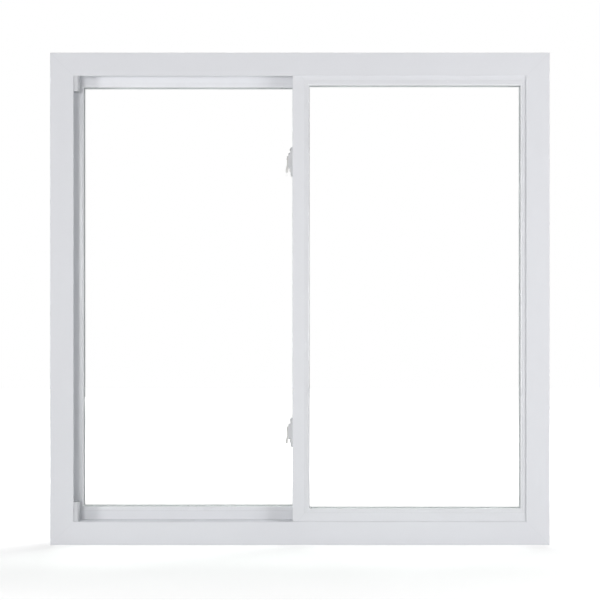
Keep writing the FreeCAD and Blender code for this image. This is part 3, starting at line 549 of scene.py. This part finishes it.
# Locks and keepers
# Die-cast cam locks in light grey-white enamel are screwed to the stile's edge.
# The keepers are pressed steel in the same enamel.
LOCK_COLOUR = (0.69, 0.695, 0.71)
LEVER_COLOUR = (0.66, 0.66, 0.645)
dress(plain_finish("lock_enamel", LOCK_COLOUR, roughness=0.3, shade=0.03),
      "lock_upper_case", "lock_lower_case")
dress(plain_finish("lever_enamel", LEVER_COLOUR, roughness=0.28, shade=0.03),
      "lock_upper_lever", "lock_lower_lever")
dress(plain_finish("keeper_enamel", LOCK_COLOUR, roughness=0.34, shade=0.03),
      "keeper_upper", "keeper_lower")

# Lock screws and rivets
# Two domed cross-recess screws hold each lock, and two smaller ones hold each keeper.
# The peened end of a lock's shaft shows on its lever. All are plated steel.
SCREW_COLOUR = (0.56, 0.56, 0.55)
TURN_STEPS = 28
DOME_STEPS = 6
HEAD_RIM = 0.2                # share of a head's height that its upright rim takes up
HEAD_CROWN = 0.8              # and its crown
LOCK_SCREW_RADIUS = 0.0030
LOCK_SCREW_HEIGHT = 0.0013
UPPER_SCREW_BELOW_TOP = 0.0052
LOWER_SCREW_ABOVE_END = 0.0108
KEEPER_SCREW_RADIUS = 0.0024
KEEPER_SCREW_HEIGHT = 0.0007
KEEPER_SCREW_SPACING = 0.0200
RIVET_RADIUS = 0.0026
RIVET_HEIGHT = 0.0007
LEVER_HEAD_HALF = 0.0060      # from the lever's top edge down to its shaft
LEVER_FACE_REACH = 0.0104     # from the stile's edge out to the lever's face
LOCK_BASE_THICK = 0.0040
KEEPER_THICK = 0.0015
HEAD_SUNK = 0.0003
RECESS_REACH = 0.58           # share of the head's radius that the cross takes up
RECESS_HALF_WIDTH = 0.15
RECESS_DEPTH = 0.75
RECESS_TAPER = 0.55
CUTTER_TOP = 1.5              # the cutter's top, in heights of the head


def domed_head(radius, height):
    """A shallow dome about +Z, with its rim sunk a little into what carries it."""
    rings = [(radius, -HEAD_SUNK), (radius, height * HEAD_RIM)]
    for step in range(1, DOME_STEPS):
        turn = math.pi / 2 * step / DOME_STEPS
        rings.append((radius * math.cos(turn), height * (HEAD_RIM + HEAD_CROWN * math.sin(turn))))
    angles = [2 * math.pi * step / TURN_STEPS for step in range(TURN_STEPS)]
    work = bmesh.new()
    loops = []
    for reach, z in rings:
        loops.append([work.verts.new((reach * math.cos(a), reach * math.sin(a), z)) for a in angles])
    for low, high in zip(loops, loops[1:]):
        for step in range(TURN_STEPS):
            following = (step + 1) % TURN_STEPS
            work.faces.new((low[step], low[following], high[following], high[step]))
    work.faces.new(loops[0][::-1])
    crown = work.verts.new((0.0, 0.0, height))
    for step in range(TURN_STEPS):
        work.faces.new((loops[-1][step], loops[-1][(step + 1) % TURN_STEPS], crown))
    mesh = bpy.data.meshes.new("domed_head")
    work.to_mesh(mesh)
    work.free()
    return mesh


def cross_cutter(radius, height):
    """A tapered cross that stands in a head's crown."""
    arm = radius * RECESS_REACH
    half = radius * RECESS_HALF_WIDTH
    outline = [(arm, -half), (arm, half), (half, half), (half, arm), (-half, arm), (-half, half),
               (-arm, half), (-arm, -half), (-half, -half), (-half, -arm), (half, -arm), (half, -half)]
    deep = height * (1 - RECESS_DEPTH)
    work = bmesh.new()
    low = [work.verts.new((x * RECESS_TAPER, y * RECESS_TAPER, deep)) for x, y in outline]
    high = [work.verts.new((x, y, height * CUTTER_TOP)) for x, y in outline]
    for index in range(len(outline)):
        following = (index + 1) % len(outline)
        work.faces.new((low[index], low[following], high[following], high[index]))
    work.faces.new(low[::-1])
    work.faces.new(high)
    mesh = bpy.data.meshes.new("cross_cutter")
    work.to_mesh(mesh)
    work.free()
    return mesh


def cross_recess_head(name, radius, height):
    """The head with its cross cut out of the crown."""
    head = bpy.data.objects.new(name, domed_head(radius, height))
    cutter = bpy.data.objects.new(f"{name}_cutter", cross_cutter(radius, height))
    for item in (head, cutter):
        bpy.context.scene.collection.objects.link(item)
    cut = head.modifiers.new("recess", "BOOLEAN")
    cut.operation = "DIFFERENCE"
    cut.solver = "EXACT"
    cut.object = cutter
    bpy.context.view_layer.update()
    finished = bpy.data.meshes.new_from_object(head.evaluated_get(bpy.context.evaluated_depsgraph_get()))
    bpy.data.objects.remove(cutter)
    bpy.data.objects.remove(head)
    finished.materials.clear()
    return finished


def set_head(name, mesh, place, turn, material):
    """One screw or rivet; turn brings its crown from +Z to where it faces."""
    piece = bpy.data.objects.new(name, mesh)
    piece.location = place
    piece.rotation_euler = turn
    if not mesh.materials:
        mesh.materials.append(material)
    bpy.context.scene.collection.objects.link(piece)
    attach(piece, "root")


FACING_LEFT = (0.0, -math.pi / 2, 0.0)
FACING_ROOM = (math.pi / 2, 0.0, 0.0)
plated = plain_finish("plated_steel", SCREW_COLOUR, roughness=0.30, metallic=0.55, shade=0.06)
lock_screw = cross_recess_head("lock_screw", LOCK_SCREW_RADIUS, LOCK_SCREW_HEIGHT)
keeper_screw = cross_recess_head("keeper_screw", KEEPER_SCREW_RADIUS, KEEPER_SCREW_HEIGHT)
rivet = domed_head(RIVET_RADIUS, RIVET_HEIGHT)
for level in ("upper", "lower"):
    case_low, case_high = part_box(f"lock_{level}_case")
    lever_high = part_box(f"lock_{level}_lever")[1]
    keeper_low, keeper_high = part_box(f"keeper_{level}")
    lock_y = (case_low.y + case_high.y) / 2
    base_x = case_high.x - LOCK_BASE_THICK
    top_place = (base_x, lock_y, case_high.z - UPPER_SCREW_BELOW_TOP)
    end_place = (base_x, lock_y, case_low.z + LOWER_SCREW_ABOVE_END)
    pivot_place = (case_high.x - LEVER_FACE_REACH, lock_y, lever_high.z - LEVER_HEAD_HALF)
    set_head(f"lock_{level}_screw_top", lock_screw, top_place, FACING_LEFT, plated)
    set_head(f"lock_{level}_screw_end", lock_screw, end_place, FACING_LEFT, plated)
    set_head(f"lock_{level}_rivet", rivet, pivot_place, FACING_LEFT, plated)
    plate_middle = (keeper_low.x + KEEPER_THICK + keeper_high.x) / 2
    keeper_z = (keeper_low.z + keeper_high.z) / 2
    for word, rise in (("top", KEEPER_SCREW_SPACING / 2), ("end", -KEEPER_SCREW_SPACING / 2)):
        screw_place = (plate_middle, keeper_high.y - KEEPER_THICK, keeper_z + rise)
        set_head(f"keeper_{level}_screw_{word}", keeper_screw, screw_place, FACING_ROOM, plated)

# Weep covers
# Moulded white hoods over the drain slots on the outside of the sill.
# Each is a rim round a drain hole, with a light flap inside it that keeps wind out.
WEEP_COLOUR = (0.75, 0.758, 0.79)
OUTSIDE_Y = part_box("frame_sill")[1].y
HOOD_RISE = 0.0024
HOOD_CORNER = 0.0022
HOOD_EDGE = (                 # how its outer edge is rounded: inward from the side, down from the crest
    (0.0, 0.0009), (0.0002, 0.0004), (0.0005, 0.0001), (0.0008, 0.0),
)
CORNER_STEPS = 5
RIM_WIDTH = 0.0012
EDGE_BREAK = 0.0002
RECESS_FLOOR = 0.0009         # floor of the recess, above the sill's outside face
PLUG_SIDE_INSET = 0.0053      # from the hood's end to the plug's
PLUG_LEVEL_INSET = 0.0028     # from the hood's top to the plug's, and the same below
PLUG_DEPTH = 0.0043
PLUG_WALL = 0.0008
FLAP_GAP = 0.0004
FLAP_BOTTOM_GAP = 0.0012
FLAP_FACE = 0.0019
FLAP_THICK = 0.0007
FLAP_CORNER = 0.0012
FLAP_RIM = 0.0009
FLAP_DISH = 0.0012            # where the dished middle starts, from the flap's edge


def rounded_ring(middle, half_width, half_height, corner, y):
    """Points of an upright rounded rectangle, in order round it."""
    corner = min(corner, half_width, half_height)
    points = []
    for start, side_x, side_z in ((0.0, 1, 1), (90.0, -1, 1), (180.0, -1, -1), (270.0, 1, -1)):
        for step in range(CORNER_STEPS + 1):
            turn = math.radians(start + 90.0 * step / CORNER_STEPS)
            x = middle[0] + side_x * (half_width - corner) + corner * math.cos(turn)
            z = middle[1] + side_z * (half_height - corner) + corner * math.sin(turn)
            points.append((x, y, z))
    return points


def stacked_rings(rings):
    """Faces that join equal rings one after another, closed at both ends."""
    count = len(rings[0])
    points = [place for ring in rings for place in ring]
    faces = []
    for index in range(len(rings) - 1):
        for step in range(count):
            following = (step + 1) % count
            low = index * count
            high = low + count
            faces.append((low + step, low + following, high + following, high + step))
    faces.append(tuple(range(count))[::-1])
    faces.append(tuple(range(len(points) - count, len(points))))
    return points, faces


def weep_hood(low, high):
    """Rings from the plug's blind end, out round the rim and back into the drain hole."""
    middle = ((low.x + high.x) / 2, (low.z + high.z) / 2)
    half_width = (high.x - low.x) / 2
    half_height = (high.z - low.z) / 2
    rim_width = half_width - RIM_WIDTH
    rim_height = half_height - RIM_WIDTH
    plug_width = half_width - PLUG_SIDE_INSET
    plug_height = half_height - PLUG_LEVEL_INSET
    steps = [
        (plug_width, plug_height, -PLUG_DEPTH),
        (plug_width, plug_height, 0.0),
        (half_width, half_height, 0.0),
        *[(half_width - inward, half_height - inward, HOOD_RISE - down) for inward, down in HOOD_EDGE],
        (rim_width, rim_height, HOOD_RISE),
        (rim_width - EDGE_BREAK, rim_height - EDGE_BREAK, HOOD_RISE - EDGE_BREAK),
        (rim_width - EDGE_BREAK, rim_height - EDGE_BREAK, RECESS_FLOOR),
        (plug_width - PLUG_WALL, plug_height - PLUG_WALL, RECESS_FLOOR),
        (plug_width - PLUG_WALL, plug_height - PLUG_WALL, PLUG_WALL - PLUG_DEPTH),
    ]
    return stacked_rings([
        rounded_ring(middle, width, height, HOOD_CORNER, OUTSIDE_Y + y) for width, height, y in steps
    ])


def weep_flap(low, high):
    """A thin dished plate with broken edges, a little short of the recess's lower edge."""
    inset = RIM_WIDTH + EDGE_BREAK + FLAP_GAP
    middle = ((low.x + high.x) / 2, (low.z + high.z + FLAP_BOTTOM_GAP - FLAP_GAP) / 2)
    half_width = (high.x - low.x) / 2 - inset
    half_height = (high.z - low.z) / 2 - inset - (FLAP_BOTTOM_GAP - FLAP_GAP) / 2
    steps = [
        (EDGE_BREAK, FLAP_FACE - FLAP_THICK),
        (0.0, FLAP_FACE - FLAP_THICK + EDGE_BREAK),
        (0.0, FLAP_FACE - EDGE_BREAK),
        (EDGE_BREAK, FLAP_FACE),
        (FLAP_RIM, FLAP_FACE),
        (FLAP_DISH, FLAP_FACE - EDGE_BREAK),
    ]
    return stacked_rings([
        rounded_ring(middle, half_width - edge, half_height - edge, FLAP_CORNER, OUTSIDE_Y + y)
        for edge, y in steps
    ])


weep_plastic = plain_finish("weep_cover_plastic", WEEP_COLOUR, roughness=0.42)
for side in ("left", "right"):
    low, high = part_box(f"weep_cover_{side}")
    hood = add_piece(f"weep_hood_{side}", *weep_hood(low, high), weep_plastic, "weep_plastic")
    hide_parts(f"weep_cover_{side}")
    add_piece(f"weep_flap_{side}", *weep_flap(low, high), weep_plastic, "weep_plastic")

# Floor, world and lamps
# A plain white floor, a dim even room, and soft lamps in front, at the sides, above and behind.
# Camera, glossy and transmission rays see plain white behind the window.
# One front lamp and the two behind give no glints, so that none of them shows in the glass.
FLOOR_SIZE = 14.0
FLOOR_BELOW = 0.0002          # keeps the floor clear of the sill's underside
FLOOR_ROUGHNESS = 0.9
FLOOR_GLOW_NEAR = 0.61        # round the window, where its shadow shows
FLOOR_GLOW_FAR = 1.0
GLOW_NEAR_REACH = 0.7
GLOW_FAR_REACH = 1.5
FLOOR_LIGHT = 0.80
ROOM_LIGHT = 0.06


def looking_rays(tree):
    """1 for the rays by which the camera sees, straight, in a gloss or through glass, and else 0."""
    rays = tree.nodes.new("ShaderNodeLightPath")
    seen = math_node(tree, "MAXIMUM", rays.outputs["Is Camera Ray"], rays.outputs["Is Glossy Ray"])
    return math_node(tree, "MAXIMUM", seen, rays.outputs["Is Transmission Ray"])


def pale_floor():
    """A matt floor that glows a little to the eye, less round the window than far from it."""
    material, tree, shader = blank_finish("pale_floor")
    shader.inputs["Base Color"].default_value = (FLOOR_LIGHT, FLOOR_LIGHT, FLOOR_LIGHT, 1.0)
    shader.inputs["Roughness"].default_value = FLOOR_ROUGHNESS
    shader.inputs["Specular IOR Level"].default_value = 0.0
    shader.inputs["Emission Color"].default_value = (1.0, 1.0, 1.0, 1.0)
    place = tree.nodes.new("ShaderNodeTexCoord")
    away = tree.nodes.new("ShaderNodeVectorMath")
    away.operation = "LENGTH"
    tree.links.new(place.outputs["Object"], away.inputs[0])
    glow = tree.nodes.new("ShaderNodeMapRange")
    glow.interpolation_type = "SMOOTHSTEP"
    glow.inputs["From Min"].default_value = GLOW_NEAR_REACH
    glow.inputs["From Max"].default_value = GLOW_FAR_REACH
    glow.inputs["To Min"].default_value = FLOOR_GLOW_NEAR
    glow.inputs["To Max"].default_value = FLOOR_GLOW_FAR
    tree.links.new(away.outputs["Value"], glow.inputs["Value"])
    seen_glow = math_node(tree, "MULTIPLY", looking_rays(tree), glow.outputs["Result"])
    tree.links.new(seen_glow, shader.inputs["Emission Strength"])
    return material


half_floor = FLOOR_SIZE / 2
floor_corners = ((-half_floor, -half_floor), (half_floor, -half_floor),
                 (half_floor, half_floor), (-half_floor, half_floor))
floor_mesh = bpy.data.meshes.new("floor")
floor_mesh.from_pydata([(x, y, 0.0) for x, y in floor_corners], [], [(0, 1, 2, 3)])
floor = bpy.data.objects.new("floor", floor_mesh)
floor.location.z = FRAME_LOW.z - FLOOR_BELOW
bpy.context.scene.collection.objects.link(floor)
floor_mesh.materials.append(pale_floor())

world = bpy.data.worlds.new("studio")
bpy.context.scene.world = world
world.use_nodes = True
world_tree = world.node_tree
backdrop = world_tree.nodes["Background"]
backdrop.inputs["Color"].default_value = (1.0, 1.0, 1.0, 1.0)
world_level = math_node(world_tree, "MAXIMUM", looking_rays(world_tree), ROOM_LIGHT)
world_tree.links.new(world_level, backdrop.inputs["Strength"])

WINDOW_MIDDLE = Vector((0.0, 0.0, (FACE_BOTTOM + FACE_TOP) / 2))


def soft_lamp(name, place, size, watts, glints=True):
    """A rectangular lamp that faces the window's middle, with or without glints in gloss and glass."""
    data = bpy.data.lights.new(name, "AREA")
    data.shape = "RECTANGLE"
    data.size, data.size_y = size
    data.energy = watts
    lamp = bpy.data.objects.new(name, data)
    lamp.visible_glossy = glints
    lamp.visible_transmission = glints
    lamp.location = place
    lamp.rotation_euler = (WINDOW_MIDDLE - Vector(place)).to_track_quat("-Z", "Y").to_euler()
    bpy.context.scene.collection.objects.link(lamp)


soft_lamp("lamp_front_left", (-1.46, -6.0, 0.65), (0.92, 0.9), 63.0)
soft_lamp("lamp_front_near", (-0.78, -6.0, 0.65), (0.44, 0.9), 30.0, glints=False)
soft_lamp("lamp_left_front", (-3.55, -3.75, 0.4), (1.2, 0.4), 76.0)
soft_lamp("lamp_right", (2.2, -1.8, 0.42), (0.9, 0.3), 26.0)
soft_lamp("lamp_top", (0.3, 1.6, 3.2), (1.6, 1.2), 60.0)
soft_lamp("lamp_back_left", (-2.4, 2.8, 0.7), (1.4, 1.0), 26.0, glints=False)
soft_lamp("lamp_back_right", (2.4, 3.0, 0.9), (1.4, 1.0), 26.0, glints=False)

# Camera
# It stands square to the window, 4 m from its room face, as the parallax of the deeper faces shows.
# It frames the window as the photograph does, with an even white margin all round.
CAMERA_DISTANCE = 4.0
PICTURE_WIDTH = 600               # in pixels, as are the next three values
WINDOW_WIDTH_IN_PICTURE = 499.5
WINDOW_MIDDLE_ACROSS = 299.88     # from the picture's left edge
WINDOW_MIDDLE_DOWN = 298.8        # and from its top edge
metres_per_pixel = (FACE_RIGHT - FACE_LEFT) / WINDOW_WIDTH_IN_PICTURE
camera_data = bpy.data.cameras.new("camera")
camera_data.sensor_fit = "HORIZONTAL"
camera_data.angle = 2 * math.atan(metres_per_pixel * PICTURE_WIDTH / 2 / CAMERA_DISTANCE)
camera = bpy.data.objects.new("camera", camera_data)
camera.location = (
    (PICTURE_WIDTH / 2 - WINDOW_MIDDLE_ACROSS) * metres_per_pixel,
    FRAME_LOW.y - CAMERA_DISTANCE,
    WINDOW_MIDDLE.z + (WINDOW_MIDDLE_DOWN - PICTURE_WIDTH / 2) * metres_per_pixel,
)
camera.rotation_euler = (math.radians(90), 0.0, 0.0)
bpy.context.scene.collection.objects.link(camera)
bpy.context.scene.camera = camera

bpy.context.scene.view_settings.view_transform = "Standard"

bpy.context.view_layer.update()
